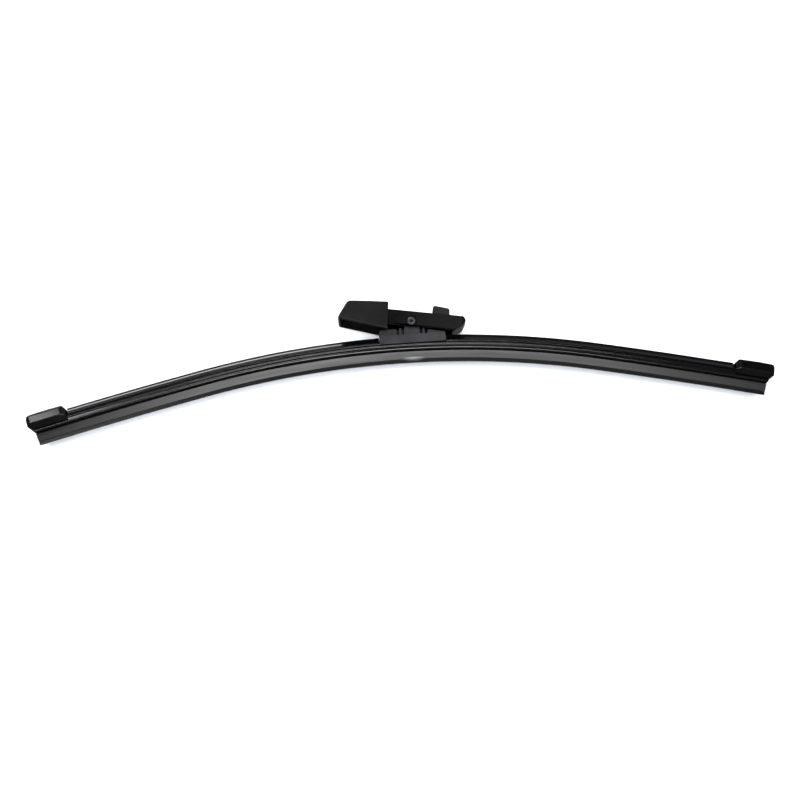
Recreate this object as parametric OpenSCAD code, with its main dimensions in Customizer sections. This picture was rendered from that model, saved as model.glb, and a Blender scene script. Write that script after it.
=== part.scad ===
// Rear beam wiper blade with a rocking arm adaptor and a push-button lock.
// The blade lies on its side. X runs along it, Y points from the glass to the arm, and Z is up.
// The origin is the middle of the pivot on which the adaptor rocks.

/* [Blade curve] */
// Length over the end caps, along the chord
blade_len = 390; // [360:2:440]
// Radius of the spring rails in the middle of the free blade
mid_r = 503; // [480:1:560]
// Angle that the middle arc turns through, on each side of the middle
mid_angle = 12; // [10:0.5:13]
// Radius of the spring rails further out
outer_r = 2700; // [2000:100:6000]
// Distance from the middle of the blade to the pivot, along the chord
pivot_shift = 6.7; // [0:0.1:9]
// Height of the pivot above the middle of the rails
pivot_h = 13.3; // [13:0.1:15]

/* [Spring rails] */
// Width of one rail
rail_w = 3.2; // [2.8:0.1:3.3]
// Thickness of one rail
rail_t = 0.9; // [0.7:0.1:1.1]
// Distance from the outer face of an end cap to the end of the rails
rail_end = 4; // [3.6:0.1:6]

/* [Rubber] */
// Height of the middle of the rails above the wiping edge
edge_drop = 8.05; // [7.6:0.05:9]
// Thickness of the wiping edge
edge_t = 0.7; // [0.5:0.05:1]
// Height of the wiping edge, up to the line under the flank
edge_h = 1.7; // [1.4:0.1:2.2]
// Thickness of the wedge at that line
line_t = 1.7; // [1.4:0.1:2.2]
// Thickness of the wedge at its shoulders
shoulder_t = 5.2; // [4.6:0.1:5.8]
// Thickness of the hinge neck, on which the wedge tips over
neck_t = 0.9; // [0.7:0.05:1.2]
// Thickness of the web between the two rails
core_t = 1.5; // [1.2:0.1:1.6]
// Width of the flange under the rails
flange_w = 4.2; // [3.6:0.1:4.6]
// Width of the heel over the rails
heel_w = 4.5; // [4:0.1:4.8]
// Height of the heel
heel_h = 1.8; // [1.4:0.1:1.9]
// Distance from the outer face of an end cap to the cut end of the rubber and the spoiler
rubber_end = 2.6; // [2.5:0.1:5]

/* [Spoiler] */
// Width over the jaws that hold the rails
jaw_w = 11.2; // [10.8:0.1:11.8]
// Radius of the rounded edge of a jaw
jaw_r = 0.75; // [0.6:0.05:0.85]
// Width across the floor of the deep side grooves
groove_w = 9.5; // [9.4:0.1:10]
// Width over the thin upper bead
bead_w = 10.4; // [10.2:0.1:10.8]
// Width over the clip rib that the base holds
rib_w = 7.2; // [7.1:0.1:7.6]
// Height of the top of the clip rib over the middle of the rails
rib_top = 3.6; // [3.4:0.05:3.8]
// Height of the crest of the fin over the middle of the rails
crest_h = 6.9; // [6.4:0.1:7.4]
// Radius of the crest
crest_r = 0.75; // [0.6:0.05:0.9]
// Depth of the hollow in the flank of the fin
flank_dip = 0.35; // [0.2:0.05:0.6]

/* [End caps] */
// Length of an end cap
cap_len = 20.4; // [18:0.2:26]
// Width of an end cap
cap_w = 16.4; // [15.6:0.2:18]
// Height of the crown of an end cap over the middle of the rails
cap_top = 7.4; // [7.3:0.05:8.5]
// How far the top of an end cap falls from its crown to each end
cap_crown = 0.5; // [0.2:0.05:0.6]
// Thickness of the closed end of an end cap
cap_end_t = 2.2; // [1.6:0.1:2.3]
// Wall of an end cap
cap_wall = 1.6; // [1.2:0.1:1.8]
// Radius of the outer corners of an end cap
cap_corner_r = 2.5; // [1.5:0.1:3]

/* [Base] */
// Length of the base
base_len = 35; // [34:0.5:40]
// How far the skirts of the base stand out past the adaptor, on each side
skirt_out = 0.1; // [0:0.05:0.2]
// Height of the skirts
skirt_h = 4.7; // [4.4:0.1:5]
// Thickness of the core of the web
core_w = 1.6; // [1.2:0.1:2.4]
// Radius of the round boss at the pivot
boss_r = 3.3; // [3:0.1:3.4]
// Width of one upright slot in the web
slot_w = 1.5; // [1:0.1:1.6]
// Thickness of the rib between two slots
slot_rib_t = 1.2; // [0.8:0.1:1.4]

/* [Pivot rivet] */
// Radius of the rivet
rivet_r = 1.6; // [1.4:0.05:1.7]
// Radius of the hole through the rivet
rivet_hole_r = 0.8; // [0.6:0.05:1]
// Radius of the rolled heads
head_r = 2.1; // [1.9:0.05:2.3]
// Thickness of the rolled heads
head_t = 0.4; // [0.3:0.05:0.5]

/* [Adaptor body] */
// Tilt of the adaptor against the base, as it lies
rest_tilt = -6.5; // [-7.5:0.5:-5]
// Width of the body, which is the inner width of the arm's channel
body_w = 12.6; // [12.2:0.1:13]
// Wall of the body
body_wall = 1.8; // [1.6:0.1:1.9]
// Distance from the pivot to the tip of the nose
nose_len = 30.2; // [29.6:0.2:32]
// Distance from the pivot to the shoulder that stops the arm
stop_len = 12.6; // [12.2:0.1:14]
// Height of the seat for the arm at the shoulder, over the pivot
seat_h = 6.2; // [6:0.1:6.6]
// Angle at which the seat falls towards the nose
seat_fall = 3.3; // [2.6:0.1:3.5]
// Depth of the body below the pivot
body_drop = 3; // [2.8:0.1:3.2]
// Radius of the dished recess round the rivet
dish_r = 2.9; // [2.6:0.1:3]

/* [Adaptor cover] */
// Distance from the pivot to the outer end of the cover
cover_reach = 39; // [37:0.5:42]
// Space inside the cover, on each side of the body
cover_room = 0.5; // [0.3:0.1:0.8]
// Height of the top of the cover over the pivot
cover_top = 9.9; // [9.2:0.1:10.4]
// Wall of the cover
cover_wall = 1.4; // [1.2:0.1:1.6]
// Radius of the outer edges of the cover
cover_edge_r = 1.2; // [0.8:0.1:1.5]

/* [Lock button] */
// Length of the button along the adaptor
button_len = 9.1; // [8:0.1:9.4]
// Height of the latching face of the button over the pivot
button_top = 10; // [9:0.1:10.2]
// Distance from the pivot to the latching face
button_pos = 11.2; // [10.8:0.1:11.6]
// Angle at which the top of the button falls towards the nose
button_fall = 9.5; // [8:0.5:14]
// Thickness of the tongue that carries the button
tongue_t = 1.3; // [1:0.1:1.4]
// Radius of the rolled root on which the tongue turns
root_r = 1.1; // [1:0.05:1.2]
// Turn of the button when it is pressed level with the seat
press_angle = 19; // [12:1:20]

/* [Fits] */
// Gap between pieces that are clipped together
fit_gap = 0.05; // [0.04:0.01:0.08]
// Gap round the rivet in the adaptor, and round the root of the tongue
turn_gap = 0.05; // [0.02:0.01:0.08]
// Gap beside pieces that move past each other
run_gap = 0.3; // [0.2:0.05:0.35]

/* [Hidden] */
$fn = 64;

eps = 0.5;                 // how far a cutter reaches past the face that it cuts
arc_steps = 6;             // straight steps of a rounded corner
far_off = 60;              // more than any piece measures across the blade

// The blade's curve, by distance along the rails from the middle of the blade
mid_len = mid_r * mid_angle * PI / 180;
end_angle = asin(sin(mid_angle) + (blade_len / 2 - mid_r * sin(mid_angle)) / outer_r);
half_len = mid_len + outer_r * (end_angle - mid_angle) * PI / 180;
rail_y = -pivot_h;

// Levels over the middle of the rails, and half widths
pocket_h = rail_t / 2 + fit_gap;
pocket_z = core_t / 2 + rail_w + 2 * fit_gap;
heel_top = pocket_h + heel_h;
flange_low = -1.3;
wedge_top = -2.1;
jaw_low = -2.05;
jaw_mid = jaw_low + jaw_r;
mouth_z = flange_w / 2 + 0.15;
groove_low = jaw_mid + jaw_r;
groove_high = 0.35;
bead_r = 0.35;
bead_mid = groove_high + bead_r + 0.15;
bead_high = bead_mid + bead_r;
notch_low = bead_high + 0.25;
notch_high = notch_low + 0.9;
notch_z = 4.2;             // half width where the notch under the clip rib begins
notch_floor_z = 3.3;       // half width at the bottom of the notch
hook_z = 3.45;             // half width to the tips of the base's hooks in the notch
rib_gap = 0.1;             // the base is easier on the clip rib than other clipped pieces
fin_gap = 0.2;             // space between the fin and the ends of the base

// End caps
cap_low = -0.25;           // lowest level of a cap, in the deep groove
cap_low_z = 5.6;           // half width there
cap_side_low = 2.45;       // level at which the upright sides begin
cap_edge_r = 1.6;          // round along the upper edges
cap_crown_r = 60;          // round of the crown, lengthwise
cap_rise = 1.8;            // how far the lower outer corner is cut back, upwards
cap_back = 1.7;            // and along the blade
cap_lead = 2.4;            // length of the inward lead of the sides towards the fin
cap_lead_in = 0.7;         // how far that lead comes in
cap_turn = mid_angle + turn_of(half_len - cap_len / 2 - mid_len, outer_r);

// Base
skirt_low = 1.3 - pivot_h; // just above the bead
skirt_top = skirt_low + skirt_h;
slot_from = boss_r + 0.8;
slot_step = slot_w + slot_rib_t;

// The adaptor, in its own frame: X towards the nose, Y away from the glass
cheek_z = body_w / 2 - body_wall;
inner_w = 2 * (cheek_z - run_gap);     // width of the web and the button, which sit between the cheeks
base_w = body_w + 2 * skirt_out;
cover_w = body_w + 2 * (cover_room + cover_wall);
cover_low = -5.5;          // lowest level of the cover, at the shoulder
nose_r = 8.5;              // round of the nose, seen from the arm
nose_solid = 8;            // length of the solid nose
tail_end = -cover_reach + 7;
tail_low = 2.4;
belly = 16;                // where the underside starts to fall towards the nose
roof_t = 1.5;              // thickness under the arm's seat
swing_room = 2.5;          // space that the latching face needs on its way down
button_end = button_pos + button_len;
root = [nose_len - 5.4, 1.3];
tongue_low = root.y - tongue_t / 2;
tongue_high = root.y + tongue_t / 2;

function unit(v) = v / norm(v);
// Turn in degrees of a length on an arc
function turn_of(len, r) = len / r * 180 / PI;
// Height of the arm's seat at distance x from the pivot
function seat_at(x) = seat_h - (x + stop_len) * tan(seat_fall);
// Outline mirrored across the blade's middle plane
function both_sides(half) = concat(half, [for (i = [len(half) - 1:-1:0]) [half[i].x, -half[i].y]]);
function arc(c, r, from, to) =
    [for (i = [0:arc_steps]) c + r * [cos(from + (to - from) * i / arc_steps),
                                      sin(from + (to - from) * i / arc_steps)]];
// One rounded corner at b, between its neighbours a and c
function corner(a, b, c, r) =
    let (u = unit(a - b), v = unit(c - b), half = acos(u * v) / 2,
         mid = b + unit(u + v) * r / sin(half),
         s = b + u * r / tan(half) - mid, e = b + v * r / tan(half) - mid,
         from = atan2(s.y, s.x), sweep = atan2(s.x * e.y - s.y * e.x, s * e))
    arc(mid, r, from, from + sweep);
// Outline with each corner rounded to its own radius, or left sharp at 0
function rounded(pts, radii) =
    let (n = len(pts))
    [for (i = [0:n - 1]) each
        radii[i] > 0 ? corner(pts[(i + n - 1) % n], pts[i], pts[(i + 1) % n], radii[i]) : [pts[i]]];

// Sweeps a section along the rails from distance a to distance b.
// In the section, X is the height over the middle of the rails and Y is across the blade.
module along(a, b) {
    translate([-pivot_shift, rail_y, 0]) {
        if (a < -mid_len && b > mid_len)
            mid_arc(-mid_angle, mid_angle) children();
        for (side = [-1, 1]) {
            near = side > 0 ? a : -b;
            far = side > 0 ? b : -a;
            starts_inside = near > -mid_len && near < mid_len;
            mirror([side > 0 ? 0 : 1, 0, 0]) {
                if (starts_inside && (side > 0 || far > mid_len))
                    mid_arc(turn_of(near, mid_r), min(mid_angle, turn_of(far, mid_r))) children();
                if (far > mid_len)
                    outer_arc(mid_angle + turn_of(max(near - mid_len, 0), outer_r),
                              mid_angle + turn_of(far - mid_len, outer_r)) children();
            }
        }
    }
}

// Piece of the middle arc between two turns from the upright, with its exact end at the second
module mid_arc(from, to) {
    translate([0, -mid_r, 0]) rotate_extrude(angle = to - from, start = 90 - to, $fn = 360)
        translate([mid_r, 0]) children();
}

// Piece of an outer arc between two turns from the upright, with its exact end at the first
module outer_arc(from, to) {
    fine_shift((mid_r - outer_r) * [sin(mid_angle), cos(mid_angle)] - [0, mid_r])
        mirror([1, 0, 0]) rotate_extrude(angle = to - from, start = 90 + from, $fn = 360)
            translate([outer_r, 0]) children();
}

// Shift in three steps, whole, thousandths and the rest, which keeps all of its digits
module fine_shift(v) {
    whole = [floor(v.x), floor(v.y)];
    fine = [floor((v.x - whole.x) * 1000) / 1000, floor((v.y - whole.y) * 1000) / 1000];
    translate(whole) translate(fine) translate(v - whole - fine) children();
}

// Frame of one end: the origin is on the rails at the cap's outer face, X points outwards
module end_frame(side) {
    mid_end = mid_r * [sin(mid_angle), cos(mid_angle) - 1];
    translate([-pivot_shift, rail_y, 0]) mirror([side > 0 ? 0 : 1, 0, 0])
        translate(mid_end + outer_r * [sin(cap_turn) - sin(mid_angle), cos(cap_turn) - cos(mid_angle)])
            rotate(-cap_turn) translate([cap_len / 2, 0, 0]) children();
}

// A straight stretch along X with its section upright
module straight_piece(from, to) {
    translate([from, 0, 0]) rotate([90, 0, 90]) linear_extrude(to - from) children();
}

// A plate that stands in the plan view, with its outline in X and Z
module plan_plate() {
    rotate([90, 0, 0]) linear_extrude(far_off, center = true) children();
}

// Rubber profile: wiping edge, wedge, hinge neck, flange, web between the rails, and heel
module squeegee_section() {
    polygon(both_sides([
        [-edge_drop, edge_t / 2],
        [-edge_drop + edge_h, edge_t / 2 + 0.1],
        [-edge_drop + edge_h + 0.2, line_t / 2],
        [wedge_top - 0.4, shoulder_t / 2],
        [wedge_top, shoulder_t / 2 - 0.15],
        [wedge_top, neck_t / 2],
        [flange_low, neck_t / 2],
        [flange_low, flange_w / 2],
        [-pocket_h, flange_w / 2],
        [-pocket_h, core_t / 2],
        [pocket_h, core_t / 2],
        [pocket_h, heel_w / 2],
        [heel_top - 0.4, heel_w / 2],
        [heel_top, heel_w / 2 - 0.4]]));
}

module squeegee() {
    color("#26272a") along(rubber_end - half_len, half_len - rubber_end) squeegee_section();
}

// One spring-steel rail; side is 1 for the rail that lies uppermost
module rail(side) {
    color("#3a3c3f") along(rail_end - half_len, half_len - rail_end)
        mirror([0, side > 0 ? 0 : 1])
            translate([-rail_t / 2, core_t / 2 + fit_gap]) square([rail_t, rail_w]);
}

// Jaws that hold the rails and the heel, with the groove, the bead and the clip rib
module jaw_section() {
    jaw_z = jaw_w / 2 - jaw_r;
    difference() {
        polygon(both_sides(concat(
            [[jaw_low, mouth_z], [jaw_low, jaw_z]],
            arc([jaw_mid, jaw_z], jaw_r, 180, 30),
            [[groove_low, groove_w / 2], [groove_high, groove_w / 2]],
            arc([bead_mid, bead_w / 2 - bead_r], bead_r, 160, 20),
            [[notch_low, notch_z], [notch_high, notch_floor_z],
             [notch_high + 0.15, rib_w / 2 - 0.1], [rib_top - 0.4, rib_w / 2],
             [rib_top, rib_w / 2 - 0.5]])));
        polygon(both_sides([
            [jaw_low - eps, mouth_z], [-pocket_h, mouth_z], [-pocket_h, pocket_z],
            [pocket_h, pocket_z], [pocket_h, heel_w / 2 + fit_gap],
            [heel_top + fit_gap, heel_w / 2 + fit_gap]]));
    }
}

// Fin over the clip rib, with hollow flanks that rise to a rounded crest
module fin_section() {
    foot = [rib_top - 0.3, rib_w / 2 - 0.75];
    tip = [crest_h - crest_r, crest_r];
    chord = unit(tip - foot);
    half = norm(tip - foot) / 2;
    flank_r = (half * half + flank_dip * flank_dip) / (2 * flank_dip);
    centre = (foot + tip) / 2 + [-chord.y, chord.x] * (flank_r - flank_dip);
    spread = asin(half / flank_r);
    facing = atan2(chord.x, -chord.y) + 180;
    polygon(both_sides(concat(
        arc(centre, flank_r, facing - spread, facing + spread),
        arc([crest_h - crest_r, 0], crest_r, 80, 8))));
}

// One extrusion: jaws all along, and the fin between the caps and the base
module spoiler() {
    cap_stop = half_len - cap_len - fin_gap;
    base_stop = base_len / 2 + fin_gap;
    color("#1d1e20") union() {
        along(rubber_end - half_len, half_len - rubber_end) jaw_section();
        along(-cap_stop, pivot_shift - base_stop) fin_section();
        along(pivot_shift + base_stop, cap_stop) fin_section();
    }
}

// Outer section of an end cap: upright sides, cut in below to the deep groove
module cap_section() {
    polygon(both_sides(concat(
        [[cap_low, cap_low_z], [cap_side_low, cap_w / 2]],
        arc([cap_top - cap_edge_r, cap_w / 2 - cap_edge_r], cap_edge_r, 90, 0))));
}

// Hollow of an end cap: it hooks into the deep groove and clears the bead and the clip rib
module cap_hollow_section() {
    polygon(both_sides([
        [cap_low - eps, groove_w / 2 + fit_gap], [groove_high - fit_gap, groove_w / 2 + fit_gap],
        [groove_high + 0.1, bead_w / 2 + fit_gap], [bead_high + 0.3, bead_w / 2 + fit_gap],
        [bead_high + 1.2, cap_w / 2 - cap_wall],
        [cap_top - cap_crown - cap_wall, cap_w / 2 - cap_wall - 1]]));
}

module end_cap(side) {
    z = cap_w / 2;
    color("#161718") end_frame(side) difference() {
        intersection() {
            straight_piece(-cap_len, 0) cap_section();
            linear_extrude(far_off, center = true)
                polygon(rounded(
                    [[0, cap_top - cap_crown], [0, cap_low + cap_rise], [-cap_back, cap_low],
                     [-cap_len, cap_low], [-cap_len, cap_top - cap_crown], [-cap_len / 2, cap_top]],
                    [cap_corner_r, 0.8, 0.8, 0, 1.5, cap_crown_r]));
            plan_plate()
                polygon(rounded(
                    [[0, -z], [0, z], [-cap_len + cap_lead, z], [-cap_len, z - cap_lead_in],
                     [-cap_len, cap_lead_in - z], [-cap_len + cap_lead, -z]],
                    [cap_corner_r, cap_corner_r, 1.2, 0, 0, 1.2]));
        }
        straight_piece(-cap_len - eps, -cap_end_t) cap_hollow_section();
    }
}

// Upright outline of the web: a block on the left, the boss, and a lower block on the right
module web_outline() {
    end_x = base_len / 2;
    polygon(rounded(
        [[-end_x, skirt_top - eps], [-end_x, skirt_top + 3.7], [-8.3, skirt_top + 3.9], [-boss_r, -2.4],
         [-boss_r, boss_r - 0.6], [boss_r, boss_r - 0.6], [boss_r, -2.8], [8.5, skirt_top + 2.7],
         [end_x, skirt_top + 0.9], [end_x, skirt_top - eps]],
        [0, 1, 0, 0, 1.6, 1.6, 0, 0, 0.6, 0]));
}

// Section of the tunnel through the base, which hooks under the clip rib
module base_tunnel_section() {
    polygon(both_sides([
        [-eps, bead_w / 2 + fit_gap], [bead_high + 0.15, bead_w / 2 + fit_gap],
        [bead_high + 0.3, notch_z + rib_gap], [notch_high - rib_gap, hook_z],
        [notch_high + 0.1, rib_w / 2 + rib_gap], [rib_top + rib_gap, rib_w / 2 + rib_gap]]));
}

module base() {
    end_x = base_len / 2;
    color("#46474b") difference() {
        union() {
            linear_extrude(base_w, center = true)
                polygon(rounded(
                    [[-end_x, skirt_low], [end_x, skirt_low], [end_x, skirt_top], [-end_x, skirt_top]],
                    [0, 0, 0.8, 0.8]));
            linear_extrude(inner_w, center = true) web_outline();
        }
        along(pivot_shift - base_len, pivot_shift + base_len) base_tunnel_section();
        for (side = [-1, 1], step = [0, slot_step], face = [-1, 1])
            translate([side * (slot_from + slot_w / 2 + step), skirt_top + boss_r,
                       face * (core_w + inner_w) / 2])
                cube([slot_w, 2 * boss_r, inner_w], center = true);
        cylinder(r = rivet_r + fit_gap / 2, h = far_off, center = true);
    }
}

// Hollow rivet with a rolled head at each end
module pivot_rivet() {
    color("#55575a") difference() {
        union() {
            cylinder(r = rivet_r, h = body_w, center = true);
            for (face = [-1, 1])
                translate([0, 0, face * (body_w - head_t) / 2]) cylinder(r = head_r, h = head_t, center = true);
        }
        cylinder(r = rivet_hole_r, h = far_off, center = true);
    }
}

// Frame of the adaptor, turned to where it lies in the photo
module adaptor_frame() {
    rotate(rest_tilt) children();
}

// Side view of the body: tail under the cover, seat for the arm, and a nose that rises from below
function body_outline() = rounded(
    [[tail_end, tail_low], [tail_end, seat_h - 0.3], [-stop_len, seat_h],
     [nose_len + 0.1, seat_at(nose_len)], [nose_len - 3, -1.6], [nose_len - 7.2, -body_drop - 0.8],
     [belly, -body_drop - 0.35], [0, -body_drop], [-stop_len, -body_drop + 1.4],
     [-stop_len - 1.5, tail_low]],
    [1, 1, 0, 1.8, 4, 1, 0, 8, 0, 1]);

// What rounds the nose off, seen from the arm
module nose_round() {
    difference() {
        translate([nose_len - nose_r, -body_w]) square([2 * nose_r, 2 * body_w]);
        translate([nose_len - nose_r, 0]) circle(r = nose_r);
    }
}

module adaptor_body() {
    cut_end = nose_len - nose_solid;
    mouth_t = tongue_t / 2 + 0.1;
    mouth_len = 3;
    color("#222427") adaptor_frame() difference() {
        linear_extrude(body_w, center = true) polygon(body_outline());
        plan_plate() nose_round();
        // Channel between the cheeks, open below
        linear_extrude(2 * cheek_z, center = true)
            polygon([[tail_end + 2, -far_off], [tail_end + 2, tail_low - 0.8],
                     [-stop_len - 3, seat_h - roof_t - 0.3], [-stop_len, seat_h - roof_t],
                     [cut_end, seat_at(cut_end) - roof_t], [cut_end, -far_off]]);
        // Window for the button, with room for the swing of its latching face
        translate([button_pos - swing_room, 0, -cheek_z])
            cube([button_len + swing_room + run_gap, far_off, 2 * cheek_z]);
        // Socket for the root of the tongue, and its mouth towards the channel
        translate([root.x, root.y, 0]) linear_extrude(2 * cheek_z, center = true) {
            circle(r = root_r + turn_gap);
            polygon([[0, mouth_t], [-mouth_len, mouth_t],
                     [-mouth_len, -mouth_t - mouth_len * tan(press_angle)], [0, -mouth_t]]);
        }
        cylinder(r = rivet_r + turn_gap, h = far_off, center = true);
        for (face = [-1, 1])
            translate([0, 0, face * body_w / 2]) cylinder(r = dish_r, h = 2 * (head_t + turn_gap), center = true);
    }
}

// Side view of the cover: crowned top, slanted end, and a lower edge that drops towards the base
function cover_outline() = [
    [-stop_len, cover_top], [-stop_len - 10, cover_top], [-cover_reach + 4.4, cover_top - 0.5],
    [-cover_reach, 0.4], [-cover_reach, -0.7], [-stop_len, cover_low]];

// Rounds the two edges along one side of the cover's side view; the cover lies to the right of it
module round_edges(from, to) {
    z = cover_w / 2;
    translate(from) rotate(atan2(to.y - from.y, to.x - from.x)) rotate([90, 0, 90])
        linear_extrude(2 * far_off, center = true)
            polygon(rounded([[-far_off, -z], [0, -z], [0, z], [-far_off, z]],
                            [0, cover_edge_r, cover_edge_r, 0]));
}

module adaptor_cover() {
    z = cover_w / 2;
    end_wall = -cover_reach + cover_wall - 0.2;
    side = cover_outline();
    color("#1b1c1e") adaptor_frame() difference() {
        intersection() {
            linear_extrude(cover_w, center = true) polygon(rounded(side, [0, 40, 4, 0.6, 0.6, 0]));
            plan_plate()
                polygon(rounded([[-stop_len, -z], [-stop_len, z], [-cover_reach, z], [-cover_reach, -z]],
                                [0, 0, 2, 2]));
            round_edges(side[1], side[0]);
            round_edges(side[3], side[2]);
            round_edges(side[5], side[4]);
        }
        // Hollow, open below
        linear_extrude(cover_w - 2 * cover_wall, center = true)
            polygon([[-stop_len - cover_wall, cover_top - cover_wall],
                     [-cover_reach + 5.4, cover_top - 0.5 - cover_wall], [end_wall, 0.3],
                     [end_wall, -far_off], [-stop_len - cover_wall, -far_off]]);
        // Opening round the body in the wall at the shoulder
        translate([-stop_len - 10, seat_h + fit_gap - far_off, -body_w / 2 - fit_gap])
            cube([20, far_off, body_w + 2 * fit_gap]);
    }
}

// Tongue with the square button on its free end and a rolled root by the nose
module lock_button() {
    latch_low = seat_at(button_pos) - roof_t - tongue_t - 0.4;
    color("#2f3134") adaptor_frame() linear_extrude(inner_w, center = true) union() {
        polygon(rounded(
            [[button_pos, latch_low], [button_end, tongue_low], [root.x, tongue_low],
             [root.x, tongue_high], [button_end, tongue_high],
             [button_end, button_top - button_len * tan(button_fall)], [button_pos, button_top]],
            [0.4, 0, 0, 0, 0.4, 1.2, 1.3]));
        translate(root) circle(r = root_r);
    }
}

squeegee();
rail(1);  // rail_upper
rail(-1);  // rail_lower
spoiler();
end_cap(-1);  // end_cap_left
end_cap(1);  // end_cap_right
base();
pivot_rivet();
adaptor_body();
adaptor_cover();
lock_button();
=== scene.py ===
"""Looks of a rear beam wiper blade that lies on its side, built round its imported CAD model."""

import logging
import math
from dataclasses import dataclass
from enum import Enum
from typing import ClassVar

import bpy
from mathutils import Matrix, Vector


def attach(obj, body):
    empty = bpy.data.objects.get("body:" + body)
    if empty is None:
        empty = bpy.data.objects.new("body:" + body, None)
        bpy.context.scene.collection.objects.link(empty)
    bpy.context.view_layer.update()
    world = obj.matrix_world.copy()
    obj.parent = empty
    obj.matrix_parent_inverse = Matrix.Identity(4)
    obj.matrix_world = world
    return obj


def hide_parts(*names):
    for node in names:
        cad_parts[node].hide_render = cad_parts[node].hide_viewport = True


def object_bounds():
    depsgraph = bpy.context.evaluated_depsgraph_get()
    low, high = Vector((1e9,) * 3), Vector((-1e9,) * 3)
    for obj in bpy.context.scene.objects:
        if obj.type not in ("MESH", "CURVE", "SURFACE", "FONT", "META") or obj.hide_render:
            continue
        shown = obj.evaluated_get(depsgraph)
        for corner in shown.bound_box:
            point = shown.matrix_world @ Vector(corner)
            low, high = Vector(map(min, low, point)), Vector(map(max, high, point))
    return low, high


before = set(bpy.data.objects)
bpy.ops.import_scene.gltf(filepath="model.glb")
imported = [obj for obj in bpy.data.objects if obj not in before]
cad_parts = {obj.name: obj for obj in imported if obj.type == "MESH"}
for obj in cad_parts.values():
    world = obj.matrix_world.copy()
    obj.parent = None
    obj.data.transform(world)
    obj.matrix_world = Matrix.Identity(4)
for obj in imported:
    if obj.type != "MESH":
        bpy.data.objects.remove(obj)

MM = 0.001
CAD_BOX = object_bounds()
log = logging.getLogger("wiper_blade")

Point = tuple[float, float, float]

MERGE = 0.002 * MM                  # points of a CAD mesh that are nearer than this are one
CUT_MERGE = 0.01 * MM               # the same for the points of a cut section


class Body(Enum):
    """The bodies of the CAD model that a piece can ride on."""

    BLADE = "blade"
    ADAPTOR = "adaptor"
    BUTTON = "button"


class Surface(Enum):
    """How a surface was made, which decides what its pattern looks like."""

    MOULDED = "moulded"    # fine even grain of an eroded mould
    DRAWN = "drawn"        # die lines and streaks along the length of an extrusion
    FIBRED = "fibred"      # mottled by short glass fibres under the skin
    COATED = "coated"      # fine even grain of an oxide or a baked coat on steel


def linear(hex_code: str) -> tuple[float, float, float, float]:
    """Turns an sRGB colour into the linear one that a shader takes.

    Args:
        hex_code: The colour as six hex digits with a leading #.

    Returns:
        Red, green, blue and an alpha of 1.
    """
    parts = [int(hex_code[i:i + 2], 16) / 255 for i in (1, 3, 5)]
    red, green, blue = (p / 12.92 if p <= 0.04045 else ((p + 0.055) / 1.055) ** 2.4 for p in parts)
    return red, green, blue, 1.0


def add_node(tree: bpy.types.NodeTree, kind: str, settings: dict | None = None,
             links: dict | None = None) -> bpy.types.Node:
    """Adds one node with its settings and links.

    Args:
        tree: The material's node tree.
        kind: Blender's name for the node's type.
        settings: Values of attributes and input sockets, sockets also by number.
        links: Output sockets to connect, by the name or number of the input.

    Returns:
        The new node.
    """
    node = tree.nodes.new(kind)
    for name, value in (settings or {}).items():
        if isinstance(name, int) or name in node.inputs:
            node.inputs[name].default_value = value
        else:
            setattr(node, name, value)
    for name, source in (links or {}).items():
        tree.links.new(source, node.inputs[name])
    return node


@dataclass(frozen=True)
class PaintedGlint:
    """A painted highlight: a pale glint patch painted on an extruded piece, on either side of it.
    """

    along_mm: float                 # place of its middle along the rails
    over_mm: float                  # and over them
    half_long_mm: float = 6.0
    half_high_mm: float = 1.0
    ragged: float = 1.6             # how far the grain eats into it, in half sizes
    full: float = 0.8               # up to here it is at its strongest, in half sizes
    gone: float = 1.9               # from here on there is none of it, in half sizes
    cover: float = 0.9              # share of the surface that it hides at its strongest
    # colour of the painted highlight
    colour: str = "#76787c"

    def share(self, tree: bpy.types.NodeTree, grain: bpy.types.NodeSocket) -> bpy.types.NodeSocket:
        """Gives how much of a point the painted highlight covers, broken up by the grain.

        Args:
            tree: The material's node tree.
            grain: Height of the fine pattern, from 0 to 1.

        Returns:
            The covered share.
        """
        run = add_node(tree, "ShaderNodeAttribute", {"attribute_name": SweptStrip.RUN})
        near = add_node(tree, "ShaderNodeVectorMath",
                        {"operation": "MULTIPLY_ADD",
                         1: (1 / (self.half_long_mm * MM), 1 / (self.half_high_mm * MM), 0.0),
                         2: (-self.along_mm / self.half_long_mm,
                             -self.over_mm / self.half_high_mm, 0.0)},
                        {0: run.outputs["Vector"]})
        far = add_node(tree, "ShaderNodeVectorMath", {"operation": "LENGTH"},
                       {0: near.outputs["Vector"]})
        eaten = add_node(tree, "ShaderNodeMath", {"operation": "MULTIPLY_ADD", 1: self.ragged},
                         {0: grain, 2: far.outputs["Value"]})
        return add_node(tree, "ShaderNodeMapRange",
                        {"From Min": self.full, "From Max": self.gone, "To Min": self.cover,
                         "To Max": 0.0}, {"Value": eaten.outputs[0]}).outputs["Result"]


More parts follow.
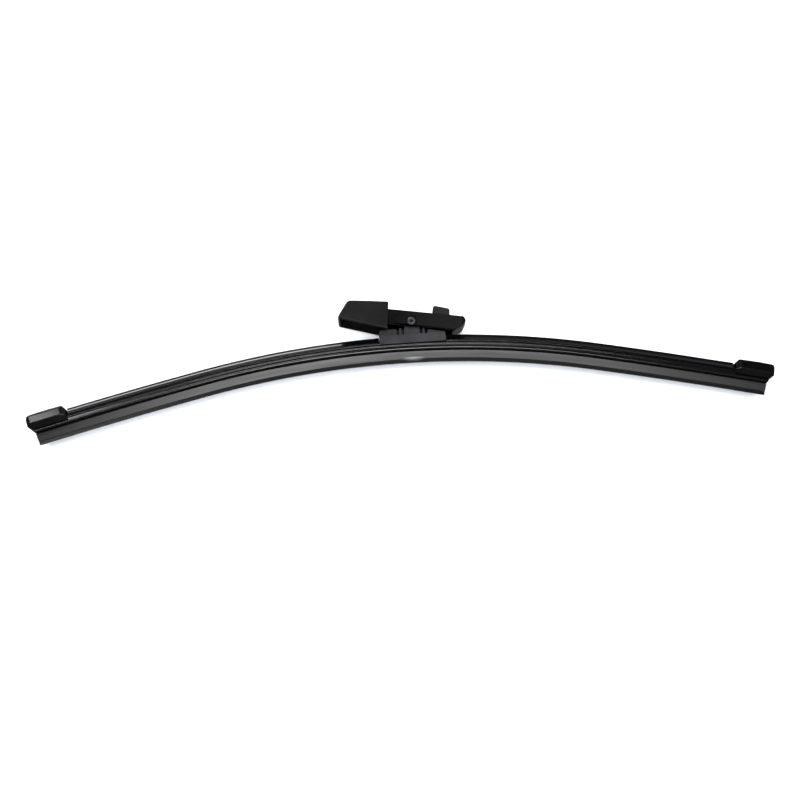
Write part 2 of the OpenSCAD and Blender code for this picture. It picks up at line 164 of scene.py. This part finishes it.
@dataclass(frozen=True)
class Finish:
    """One real material and the way its surface was made."""

    FINE_WEIGHT: ClassVar[float] = 0.45     # of the fine pattern, which is added to the slow one
    SPAN: ClassVar[tuple[float, float]] = (0.55, 0.90)      # sums that give dark and light
    DRAWN_OUT: ClassVar[float] = 0.025      # an extrusion's marks are 40 times longer than wide

    name: str
    surface: Surface
    dark: str                       # colour in the hollows of the pattern
    light: str                      # colour on its high spots
    roughness: tuple[float, float]  # in the hollows and on the high spots
    grain_mm: float                 # size of one grain, or spacing of the die lines
    relief_mm: float                # height of the pattern
    ior: float = 1.5
    metallic: float = 0.0
    blotch_mm: float = 14.0         # size of the slow changes in gloss and colour
    # painted highlight: a pale glint patch mixed into the colour
    painted_glint: PaintedGlint | None = None

    def material(self) -> bpy.types.Material:
        """Builds the node material, or finds it if it has been built.

        Returns:
            The material.
        """
        found = bpy.data.materials.get(self.name)
        if found:
            return found
        made = bpy.data.materials.new(self.name)
        made.use_nodes = True
        tree = made.node_tree
        tree.nodes.clear()
        place = self._place(tree)
        fine = self._fine_pattern(tree, place)
        slow = add_node(tree, "ShaderNodeTexNoise",
                        {"Scale": 1 / (self.blotch_mm * MM), "Detail": 3.0, "Roughness": 0.55},
                        {"Vector": place})
        blend = add_node(tree, "ShaderNodeMath",
                         {"operation": "MULTIPLY_ADD", 1: self.FINE_WEIGHT},
                         {0: fine, 2: slow.outputs["Fac"]})
        span = {"From Min": self.SPAN[0], "From Max": self.SPAN[1]}
        share = add_node(tree, "ShaderNodeMapRange", span, {"Value": blend.outputs[0]})
        colour = add_node(tree, "ShaderNodeMix",
                          {"data_type": "RGBA", 6: linear(self.dark), 7: linear(self.light)},
                          {0: share.outputs["Result"]}).outputs[2]
        # Mixes in the painted highlight, a pale glint patch that stands in for light
        if self.painted_glint:
            colour = add_node(tree, "ShaderNodeMix",
                              {"data_type": "RGBA", 7: linear(self.painted_glint.colour)},
                              {0: self.painted_glint.share(tree, fine), 6: colour}).outputs[2]
        gloss = add_node(tree, "ShaderNodeMapRange",
                         {**span, "To Min": self.roughness[0], "To Max": self.roughness[1]},
                         {"Value": blend.outputs[0]})
        bump = add_node(tree, "ShaderNodeBump", {"Strength": 1.0, "Distance": self.relief_mm * MM},
                        {"Height": fine})
        sockets = {"Metallic": self.metallic}
        if self.metallic == 0:
            sockets["IOR"] = self.ior
        shader = add_node(tree, "ShaderNodeBsdfPrincipled", sockets,
                          {"Base Color": colour, "Roughness": gloss.outputs["Result"],
                           "Normal": bump.outputs["Normal"]})
        add_node(tree, "ShaderNodeOutputMaterial", {}, {"Surface": shader.outputs["BSDF"]})
        return made

    def _place(self, tree: bpy.types.NodeTree) -> bpy.types.NodeSocket:
        """Gives where a point is: along, over and across the rails if drawn, and else in space.

        Args:
            tree: The material's node tree.

        Returns:
            The place, drawn together along the rails if the surface is drawn.
        """
        if self.surface is Surface.DRAWN:
            run = add_node(tree, "ShaderNodeAttribute", {"attribute_name": SweptStrip.RUN})
            return add_node(tree, "ShaderNodeVectorMath",
                            {"operation": "MULTIPLY", 1: (self.DRAWN_OUT, 1.0, 1.0)},
                            {0: run.outputs["Vector"]}).outputs["Vector"]
        return add_node(tree, "ShaderNodeTexCoord").outputs["Object"]

    def _fine_pattern(self, tree: bpy.types.NodeTree,
                      place: bpy.types.NodeSocket) -> bpy.types.NodeSocket:
        """Adds the fine pattern of the surface.

        Args:
            tree: The material's node tree.
            place: Where a point is, from _place().

        Returns:
            The pattern's height, from 0 to 1.
        """
        scale = 1 / (self.grain_mm * MM)
        if self.surface is Surface.FIBRED:
            cells = add_node(tree, "ShaderNodeTexVoronoi",
                             {"feature": "SMOOTH_F1", "Scale": scale, "Smoothness": 0.6},
                             {"Vector": place})
            return cells.outputs["Distance"]
        detail = 4.0 if self.surface is Surface.DRAWN else 2.0
        noise = add_node(tree, "ShaderNodeTexNoise",
                         {"Scale": scale, "Detail": detail, "Roughness": 0.6}, {"Vector": place})
        return noise.outputs["Fac"]


# Natural rubber, extruded and slit, with a graphite coat: soft grey sheen with long drag streaks,
# and a painted highlight (a pale glint patch) on its face by the base
GRAPHITE_RUBBER = Finish("graphite_coated_rubber", Surface.DRAWN, "#040405", "#0c0c0e",
                         (0.20, 0.38), 0.5, 0.003, 1.52, painted_glint=PaintedGlint(6.5, -5.9))
# Soft thermoplastic, extruded: deep black with a satin sheen and faint die lines
SPOILER_PLASTIC = Finish("extruded_soft_plastic", Surface.DRAWN, "#030304", "#060607",
                         (0.14, 0.22), 0.35, 0.0006, 1.60)
# Nylon moulded in an eroded mould: black, satin, with a fine grain
CAP_NYLON = Finish("moulded_black_nylon", Surface.MOULDED, "#010102", "#030304",
                   (0.22, 0.30), 0.30, 0.002, 1.5)
# Glass-filled nylon: dark grey, dull, slightly mottled where fibres reach the skin
BASE_NYLON = Finish("glass_filled_nylon", Surface.FIBRED, "#1a1a1d", "#28282c",
                    (0.42, 0.55), 0.45, 0.003, 1.46)
# Acetal, moulded and smooth: black with soft wide reflections
BODY_ACETAL = Finish("moulded_black_acetal", Surface.MOULDED, "#030304", "#050506",
                     (0.16, 0.26), 0.40, 0.0004, 1.42)
# ABS moulded with a fine matte grain: black and even
COVER_ABS = Finish("matte_black_abs", Surface.MOULDED, "#060606", "#0a0a0b",
                   (0.30, 0.42), 0.28, 0.002, 1.53)
# Nylon, moulded: charcoal, a little lighter than the body round it
BUTTON_NYLON = Finish("moulded_charcoal_nylon", Surface.MOULDED, "#0c0c0e", "#141416",
                      (0.34, 0.44), 0.30, 0.002, 1.53)
# Steel tube, oxide-blackened and rolled: dark grey metal, rubbed brighter in spots
RIVET_STEEL = Finish("blackened_steel", Surface.COATED, "#6a6a6e", "#a8a8ae",
                     (0.26, 0.38), 0.25, 0.004, metallic=1.0, blotch_mm=1.2)
# Spring steel with a black baked coat: thin, even and a little glossy
RAIL_STEEL = Finish("coated_spring_steel", Surface.COATED, "#0e0e10", "#18181a",
                    (0.30, 0.40), 0.35, 0.003, 1.55)


@dataclass(frozen=True)
class RailCurve:
    """The curve of the spring rails: one arc in the middle and a flatter one on each side."""

    SHORTEST: ClassVar[float] = 1e-6        # a stretch under this length, in metres, is left out

    middle: Point = (-6.7 * MM, -13.3 * MM, 0.0)        # top of the middle arc
    mid_r: float = 503 * MM         # radius of the middle arc
    mid_angle: float = math.radians(12)     # half of the angle that it covers
    outer_r: float = 2700 * MM      # radius of the arcs beside it

    @property
    def mid_len(self) -> float:
        """Length of the middle arc on one side."""
        return self.mid_r * self.mid_angle

    def centre(self, side: int) -> Vector:
        """Gives the centre of an arc.

        Args:
            side: 0 for the middle arc, and -1 or 1 for the arc on that side.

        Returns:
            The arc's centre in the row frame.
        """
        mid = Vector(self.middle) - Vector((0, self.mid_r, 0))
        if side == 0:
            return mid
        reach = self.mid_r - self.outer_r
        return mid + reach * Vector((side * math.sin(self.mid_angle), math.cos(self.mid_angle), 0))

    def straighten(self, point: Vector) -> Point:
        """Gives a point as distance along the rails, height over them, and distance across.

        Args:
            point: A point in the row frame.

        Returns:
            The three distances, in metres.
        """
        from_mid = point - self.centre(0)
        turn = math.atan2(from_mid.x, from_mid.y)
        if abs(turn) <= self.mid_angle:
            return turn * self.mid_r, from_mid.xy.length - self.mid_r, point.z
        side = 1 if turn > 0 else -1
        outer = point - self.centre(side)
        past = math.atan2(outer.x, outer.y) - side * self.mid_angle
        return side * self.mid_len + past * self.outer_r, outer.xy.length - self.outer_r, point.z

    def frame_at(self, run: float) -> Matrix:
        """Gives the frame of the section at a distance along the rails.

        Args:
            run: Distance from the middle of the blade, negative to the left.

        Returns:
            A matrix whose X is along the rails and whose Y points away from the glass.
        """
        side = 0 if abs(run) <= self.mid_len else (1 if run > 0 else -1)
        turn = run / self.mid_r
        radius = self.mid_r
        if side:
            turn = side * self.mid_angle + (run - side * self.mid_len) / self.outer_r
            radius = self.outer_r
        at = self.centre(side) + radius * Vector((math.sin(turn), math.cos(turn), 0))
        return Matrix.Translation(at) @ Matrix.Rotation(-turn, 4, "Z")

    def stretches(self, start: float, end: float) -> list[tuple[int, float, float]]:
        """Splits a run along the rails where one arc meets the next.

        Args:
            start: Distance of its left end from the middle.
            end: Distance of its right end.

        Returns:
            The arc's side, start and end of each stretch, from left to right.
        """
        limits = [(-1, -math.inf, -self.mid_len), (0, -self.mid_len, self.mid_len),
                  (1, self.mid_len, math.inf)]
        found = [(side, max(start, low), min(end, high)) for side, low, high in limits]
        return [(side, a, b) for side, a, b in found if b - a > self.SHORTEST]


CURVE = RailCurve()


def only(obj: bpy.types.Object) -> None:
    """Deselects everything, then selects one object and makes it the active one.

    Args:
        obj: The object.
    """
    bpy.ops.object.select_all(action="DESELECT")
    obj.select_set(True)
    bpy.context.view_layer.objects.active = obj


def copy_of(node: str, name: str) -> bpy.types.Object:
    """Makes a merged copy of a CAD node's mesh as a new object.

    Args:
        node: Name of the CAD node.
        name: Name of the new piece.

    Returns:
        The new object, selected, with its doubles merged.
    """
    piece = bpy.data.objects.new(name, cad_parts[node].data.copy())
    bpy.context.scene.collection.objects.link(piece)
    piece.data.materials.clear()
    only(piece)
    bpy.ops.mesh.customdata_custom_splitnormals_clear()
    bpy.ops.object.mode_set(mode="EDIT")
    bpy.ops.mesh.select_all(action="SELECT")
    bpy.ops.mesh.remove_doubles(threshold=MERGE)
    bpy.ops.object.mode_set(mode="OBJECT")
    return piece


def soften(piece: bpy.types.Object, width_mm: float, segments: int, limit: float) -> None:
    """Rounds the sharp edges of a piece with a bevel, and applies it.

    Args:
        piece: The piece to soften.
        width_mm: Width of the round in millimetres.
        segments: Number of faces in the round.
        limit: Smallest angle in degrees of an edge that is rounded.
    """
    only(piece)
    bevel = piece.modifiers.new("soft_edges", "BEVEL")
    bevel.width = width_mm * MM
    bevel.segments = segments
    bevel.limit_method = "ANGLE"
    bevel.angle_limit = math.radians(limit)
    bevel.miter_outer = "MITER_ARC"
    bevel.use_clamp_overlap = False
    bpy.ops.object.modifier_apply(modifier=bevel.name)


def dress(piece: bpy.types.Object, finish: Finish, body: Body, slot: str, *nodes: str) -> None:
    """Gives a finished piece its material and body, and hides the nodes that it stands for.

    Args:
        piece: The finished piece.
        finish: Its finish.
        body: The body that it rides on.
        slot: Not used.
        nodes: The CAD nodes that it replaces.
    """
    piece.data.materials.clear()
    piece.data.materials.append(finish.material())
    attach(piece, body.value)
    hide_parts(*nodes)
    log.info("%s: %d faces, %s", piece.name, len(piece.data.polygons), finish.name)


@dataclass
class SweptStrip:
    """Base of the extruded pieces: a section of the CAD node, spun along the rails."""

    RUN: ClassVar[str] = "run"      # attribute that says where a point is along the rails

    node: str
    name: str
    edge_mm: float                  # width of the round on the edges along the rails
    smooth_deg: float               # edges over this angle are shaded sharp
    round_deg: float = 28.0         # edges over this angle are rounded
    round_faces: int = 2            # faces across a round
    flat_deg: float = 0.5           # edges of a section that meet under this angle are one
    step: float = 6 * MM            # longest straight step along the rails

    def section(self, at: float, tag: str) -> bpy.types.Object:
        """Cuts the node's section at a distance along the rails and lays it into the frame there.

        Args:
            at: Distance from the middle of the blade.
            tag: Name of the section.

        Returns:
            The loop of edges, in its own frame: X along the rails, Y away from the glass.
        """
        piece = copy_of(self.node, f"{self.name}_{tag}")
        plane = CURVE.frame_at(at)
        bpy.ops.object.mode_set(mode="EDIT")
        bpy.ops.mesh.select_all(action="SELECT")
        bpy.ops.mesh.bisect(plane_co=plane.translation, plane_no=plane.to_3x3().col[0],
                            clear_inner=True, clear_outer=True)
        bpy.ops.mesh.select_all(action="SELECT")
        bpy.ops.mesh.remove_doubles(threshold=CUT_MERGE)
        bpy.ops.mesh.dissolve_limited(angle_limit=math.radians(self.flat_deg))
        bpy.ops.object.mode_set(mode="OBJECT")
        piece.data.transform(plane.inverted())
        return piece

    def sweep(self, section: bpy.types.Object, start: float, end: float,
              tag: str) -> bpy.types.Object:
        """Spins a section along the arcs of the rails, rounds its edges and closes both ends.

        Args:
            section: The loop from section().
            start: Distance of the left end from the middle.
            end: Distance of the right end.
            tag: Name of the stretch.

        Returns:
            A closed piece.
        """
        piece = bpy.data.objects.new(f"{self.name}_{tag}", section.data.copy())
        bpy.context.scene.collection.objects.link(piece)
        piece.data.transform(CURVE.frame_at(start))
        only(piece)
        bpy.ops.object.mode_set(mode="EDIT")
        bpy.ops.mesh.select_all(action="SELECT")
        for side, near, far in CURVE.stretches(start, end):
            radius = CURVE.outer_r if side else CURVE.mid_r
            bpy.ops.mesh.spin(steps=max(1, math.ceil((far - near) / self.step)),
                              angle=(far - near) / radius, center=CURVE.centre(side),
                              axis=(0, 0, 1))
        bpy.ops.object.mode_set(mode="OBJECT")
        soften(piece, self.edge_mm, self.round_faces, self.round_deg)
        bpy.ops.object.mode_set(mode="EDIT")
        bpy.ops.mesh.select_all(action="SELECT")
        bpy.ops.mesh.fill_holes(sides=0)
        bpy.ops.mesh.normals_make_consistent(inside=False)
        bpy.ops.object.mode_set(mode="OBJECT")
        return piece

    def join(self, parts: list[bpy.types.Object]) -> bpy.types.Object:
        """Joins the stretches into the first one, and gives it the piece's name.

        Args:
            parts: The stretches.

        Returns:
            The joined piece.
        """
        only(parts[0])
        for part in parts:
            part.select_set(True)
        bpy.ops.object.join()
        parts[0].name = self.name
        return parts[0]

    def mark_run(self, piece: bpy.types.Object) -> None:
        """Stores where each point is along, over and across the rails, for the materials.

        Args:
            piece: The swept piece.
        """
        marks = piece.data.attributes.new(self.RUN, "FLOAT_VECTOR", "POINT")
        for vertex in piece.data.vertices:
            marks.data[vertex.index].vector = CURVE.straighten(vertex.co)


def smooth(piece: bpy.types.Object, limit: float) -> None:
    """Shades a piece smooth, and keeps its sharp edges sharp and its flat faces flat.

    Args:
        piece: The piece to shade.
        limit: Largest angle in degrees of an edge that is shaded smooth.
    """
    only(piece)
    bpy.ops.object.shade_smooth_by_angle(angle=math.radians(limit))
    weighted = piece.modifiers.new("flat_faces", "WEIGHTED_NORMAL")
    weighted.keep_sharp = True
    bpy.ops.object.modifier_apply(modifier=weighted.name)


@dataclass
class WiperElement:
    """The extruded parts: rubber, spoiler and the two spring rails inside them."""

    reach: float = 195.55 * MM      # from the middle to the cut ends, along the rails
    fin_end: float = 177.55 * MM    # where the fin stops at an end cap
    fin_gap: tuple[float, float] = (-11.0 * MM, 24.4 * MM)   # where it stops at the base
    section_at: float = 105.3 * MM  # where the full sections are cut, clear of base and caps
    cut_inset: float = 0.05 * MM    # how far inside the end the one without a fin is cut
    rubber_edge_mm: float = 0.09
    spoiler_edge_mm: float = 0.12

    def build_rubber(self) -> None:
        """Sweeps the rubber in one stretch."""
        strip = SweptStrip("squeegee", "wiping_rubber", self.rubber_edge_mm, smooth_deg=20)
        loop = strip.section(self.section_at, "loop")
        piece = strip.join([strip.sweep(loop, -self.reach, self.reach, "run")])
        bpy.data.objects.remove(loop)
        smooth(piece, strip.smooth_deg)
        strip.mark_run(piece)
        dress(piece, GRAPHITE_RUBBER, Body.BLADE, "blade_rubber", strip.node)

    def build_spoiler(self) -> None:
        """Sweeps the spoiler with its fin, and without it under the caps and the base."""
        strip = SweptStrip("spoiler", "spoiler_strip", self.spoiler_edge_mm, smooth_deg=28)
        low = strip.section(self.reach - self.cut_inset, "low")
        high = strip.section(self.section_at, "high")
        left, right = self.fin_gap
        runs = [(low, -self.reach, -self.fin_end), (high, -self.fin_end, left),
                (low, left, right), (high, right, self.fin_end), (low, self.fin_end, self.reach)]
        piece = strip.join([strip.sweep(loop, start, end, str(i))
                            for i, (loop, start, end) in enumerate(runs)])
        for loop in (low, high):
            bpy.data.objects.remove(loop)
        smooth(piece, strip.smooth_deg)
        strip.mark_run(piece)
        dress(piece, SPOILER_PLASTIC, Body.BLADE, "spoiler_plastic", strip.node)

    def dress_rails(self) -> None:
        """Gives the CAD model's own rails their coat."""
        for node in ("rail_upper", "rail_lower"):
            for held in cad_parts[node].material_slots:
                held.material = RAIL_STEEL.material()
            log.info("%s: CAD mesh, %s", node, RAIL_STEEL.name)


@dataclass
class MouldedPart:
    """A moulding: the CAD node's shape with the small rounds that a mould gives its edges."""

    node: str
    name: str
    finish: Finish
    body: Body
    slot: str
    edge_mm: float                  # width of the rounds
    round_faces: int = 3            # faces across a round
    round_deg: float = 32.0         # edges over this angle are rounded
    smooth_deg: float = 28.0        # edges over this angle are shaded sharp
    flat_deg: float = 0.6           # faces that meet under this angle are one

    def build(self) -> None:
        """Copies the node, makes its flat faces whole, rounds its edges and dresses it."""
        piece = copy_of(self.node, self.name)
        bpy.ops.object.mode_set(mode="EDIT")
        bpy.ops.mesh.select_all(action="SELECT")
        bpy.ops.mesh.dissolve_limited(angle_limit=math.radians(self.flat_deg))
        bpy.ops.object.mode_set(mode="OBJECT")
        soften(piece, self.edge_mm, self.round_faces, self.round_deg)
        smooth(piece, self.smooth_deg)
        dress(piece, self.finish, self.body, self.slot, self.node)


@dataclass
class EndCaps:
    """The two caps that close the ends of the blade."""

    edge_mm: float = 0.25

    def build(self) -> None:
        """Builds the left and the right cap."""
        for side in ("left", "right"):
            MouldedPart(f"end_cap_{side}", f"cap_{side}", CAP_NYLON, Body.BLADE, "cap_plastic",
                        self.edge_mm).build()


@dataclass
class Adaptor:
    """The clipped base with its rivet, and what rocks on that: body, cover and lock button."""

    base_edge_mm: float = 0.15
    base_round_faces: int = 2
    rivet_roll_mm: float = 0.15     # width of the rounds of its rolled heads
    rivet_round_faces: int = 5
    body_edge_mm: float = 0.30
    cover_edge_mm: float = 0.20
    button_edge_mm: float = 0.25

    def build(self) -> None:
        """Builds the base, the rivet, the body, the cover and the button."""
        MouldedPart("base", "clip_base", BASE_NYLON, Body.BLADE, "base_plastic",
                    self.base_edge_mm, self.base_round_faces).build()
        MouldedPart("pivot_rivet", "rolled_rivet", RIVET_STEEL, Body.BLADE, "rivet_steel",
                    self.rivet_roll_mm, self.rivet_round_faces).build()
        MouldedPart("adaptor_body", "rocker_body", BODY_ACETAL, Body.ADAPTOR, "adaptor_plastic",
                    self.body_edge_mm).build()
        MouldedPart("adaptor_cover", "rocker_cover", COVER_ABS, Body.ADAPTOR, "cover_plastic",
                    self.cover_edge_mm).build()
        MouldedPart("lock_button", "press_button", BUTTON_NYLON, Body.BUTTON, "button_plastic",
                    self.button_edge_mm).build()


@dataclass(frozen=True)
class Softbox:
    """One rectangular light of the studio."""

    name: str
    place: Point
    aim: Point                      # the point that it faces
    size: tuple[float, float]       # width and height in metres
    watts: float
    mirrored: bool = True           # whether reflections show it

    def hang(self) -> None:
        """Adds the light to the scene."""
        data = bpy.data.lights.new(self.name, "AREA")
        data.shape = "RECTANGLE"
        data.size, data.size_y = self.size
        data.energy = self.watts
        lamp = bpy.data.objects.new(self.name, data)
        bpy.context.scene.collection.objects.link(lamp)
        lamp.location = self.place
        ahead = Vector(self.aim) - Vector(self.place)
        lamp.rotation_euler = ahead.to_track_quat("-Z", "Y").to_euler()
        lamp.visible_glossy = self.mirrored


@dataclass
class Studio:
    """Pale floor, soft lights and the photo's camera, which looks down from 0.6 m."""

    LIGHTS: ClassVar[tuple[Softbox, ...]] = (
        Softbox("overhead", (0.0, 0.10, 1.3), (0.0, -0.02, 0.0), (2.2, 1.8), 55.0, False),
        Softbox("front_softbox", (0.02, -0.70, 0.9), (0.0, -0.03, 0.0), (0.15, 0.50), 4.1),
        Softbox("left_softbox", (-0.49, 0.20, 0.9), (-0.19, -0.04, 0.0), (0.15, 0.24), 1.2),
        Softbox("back_window", (-0.55, 1.45, 0.62), (-0.06, 0.0, 0.0), (0.9, 0.35), 11.0),
        Softbox("low_window", (-0.30, 1.50, 0.25), (-0.06, 0.0, 0.0), (0.42, 0.12), 1.3),
        Softbox("dim_panel", (0.15, 0.30, 1.1), (0.02, 0.0, 0.0), (0.16, 0.30), 0.15),
    )

    distance: float = 600 * MM      # from the camera to the point that it faces
    azimuth: float = 8.0            # degrees, as are the next two
    elevation: float = 75.57
    roll: float = 3.8
    target: Point = (-9.05 * MM, -41.30 * MM, 0.0)
    focal_px: float = 1138.3        # focal length in pixels of the photo
    image_px: int = 800             # width of the photo
    sensor_mm: float = 36.0
    near_clip: float = 10 * MM
    floor_size: float = 1.8
    paper: str = "#eef2f8"          # colour of the floor
    backdrop: str = "#fbfdff"       # colour past its edge
    ceiling: float = 0.06           # how bright the room is overhead
    walls: float = 0.22             # how bright it is at the blade's height and below
    blend: tuple[float, float] = (-0.5, -0.05)      # Z of Incoming at the ceiling's and walls' edge

    def build(self) -> None:
        """Lays the floor, hangs the lights and sets up the camera."""
        self._floor()
        self._world()
        for softbox in self.LIGHTS:
            softbox.hang()
        self._camera()

    def _floor(self) -> None:
        """Lays a matte white sheet under the blade."""
        bpy.ops.object.select_all(action="DESELECT")
        bpy.ops.mesh.primitive_plane_add(size=self.floor_size, location=(0, 0, CAD_BOX[0][2]))
        floor = bpy.context.object
        floor.name = "studio_floor"
        paper = bpy.data.materials.new("matte_white_paper")
        paper.use_nodes = True
        shader = paper.node_tree.nodes["Principled BSDF"]
        shader.inputs["Base Color"].default_value = linear(self.paper)
        shader.inputs["Roughness"].default_value = 0.9
        shader.inputs["Specular IOR Level"].default_value = 0.1
        floor.data.materials.append(paper)
        # The photo's backdrop is whitened, so the glossy black parts don't mirror it
        floor.visible_glossy = False

    def _world(self) -> None:
        """Fills the studio with a dim light, and shows white past the sheet's edge."""
        world = bpy.data.worlds.new("studio")
        bpy.context.scene.world = world
        world.use_nodes = True
        tree = world.node_tree
        tree.nodes.clear()
        ray = add_node(tree, "ShaderNodeLightPath")
        way = add_node(tree, "ShaderNodeNewGeometry")
        rise = add_node(tree, "ShaderNodeSeparateXYZ", {}, {"Vector": way.outputs["Incoming"]})
        # Incoming points back along the ray, so its Z is negative for a ray that goes up
        level = add_node(tree, "ShaderNodeMapRange",
                         {"From Min": self.blend[0], "From Max": self.blend[1],
                          "To Min": self.ceiling, "To Max": self.walls},
                         {"Value": rise.outputs["Z"]})
        strength = add_node(tree, "ShaderNodeMapRange", {"To Max": 1.0},
                            {"Value": ray.outputs["Is Camera Ray"],
                             "To Min": level.outputs["Result"]})
        sky = add_node(tree, "ShaderNodeBackground", {}, {"Strength": strength.outputs["Result"]})
        sky.inputs["Color"].default_value = linear(self.backdrop)
        add_node(tree, "ShaderNodeOutputWorld", {}, {"Surface": sky.outputs["Background"]})

    def _camera(self) -> None:
        """Sets the camera to the photo's angle, distance and field of view."""
        turn, rise, lean = (math.radians(a) for a in (self.azimuth, self.elevation, self.roll))
        ahead = Vector((math.sin(turn) * math.cos(rise), math.cos(turn) * math.cos(rise),
                        -math.sin(rise)))
        level = Vector((math.cos(turn), -math.sin(turn), 0))
        above = level.cross(ahead)
        right = math.cos(lean) * level + math.sin(lean) * above
        up = math.cos(lean) * above - math.sin(lean) * level
        data = bpy.data.cameras.new("photo_camera")
        data.sensor_width = self.sensor_mm
        data.lens = self.focal_px * self.sensor_mm / self.image_px
        data.clip_start = self.near_clip
        camera = bpy.data.objects.new("photo_camera", data)
        bpy.context.scene.collection.objects.link(camera)
        axes = Matrix((right, up, -ahead)).transposed().to_4x4()
        camera.matrix_world = Matrix.Translation(Vector(self.target) - ahead * self.distance) @ axes
        bpy.context.scene.camera = camera


def main() -> None:
    """Builds and dresses the blade, then the studio, and reports each piece."""
    logging.basicConfig(level=logging.INFO, format="%(name)s: %(message)s")
    bpy.context.scene.view_settings.view_transform = "Standard"
    element = WiperElement()
    element.build_rubber()
    element.build_spoiler()
    element.dress_rails()
    EndCaps().build()
    Adaptor().build()
    Studio().build()


if __name__ == "__main__":
    main()
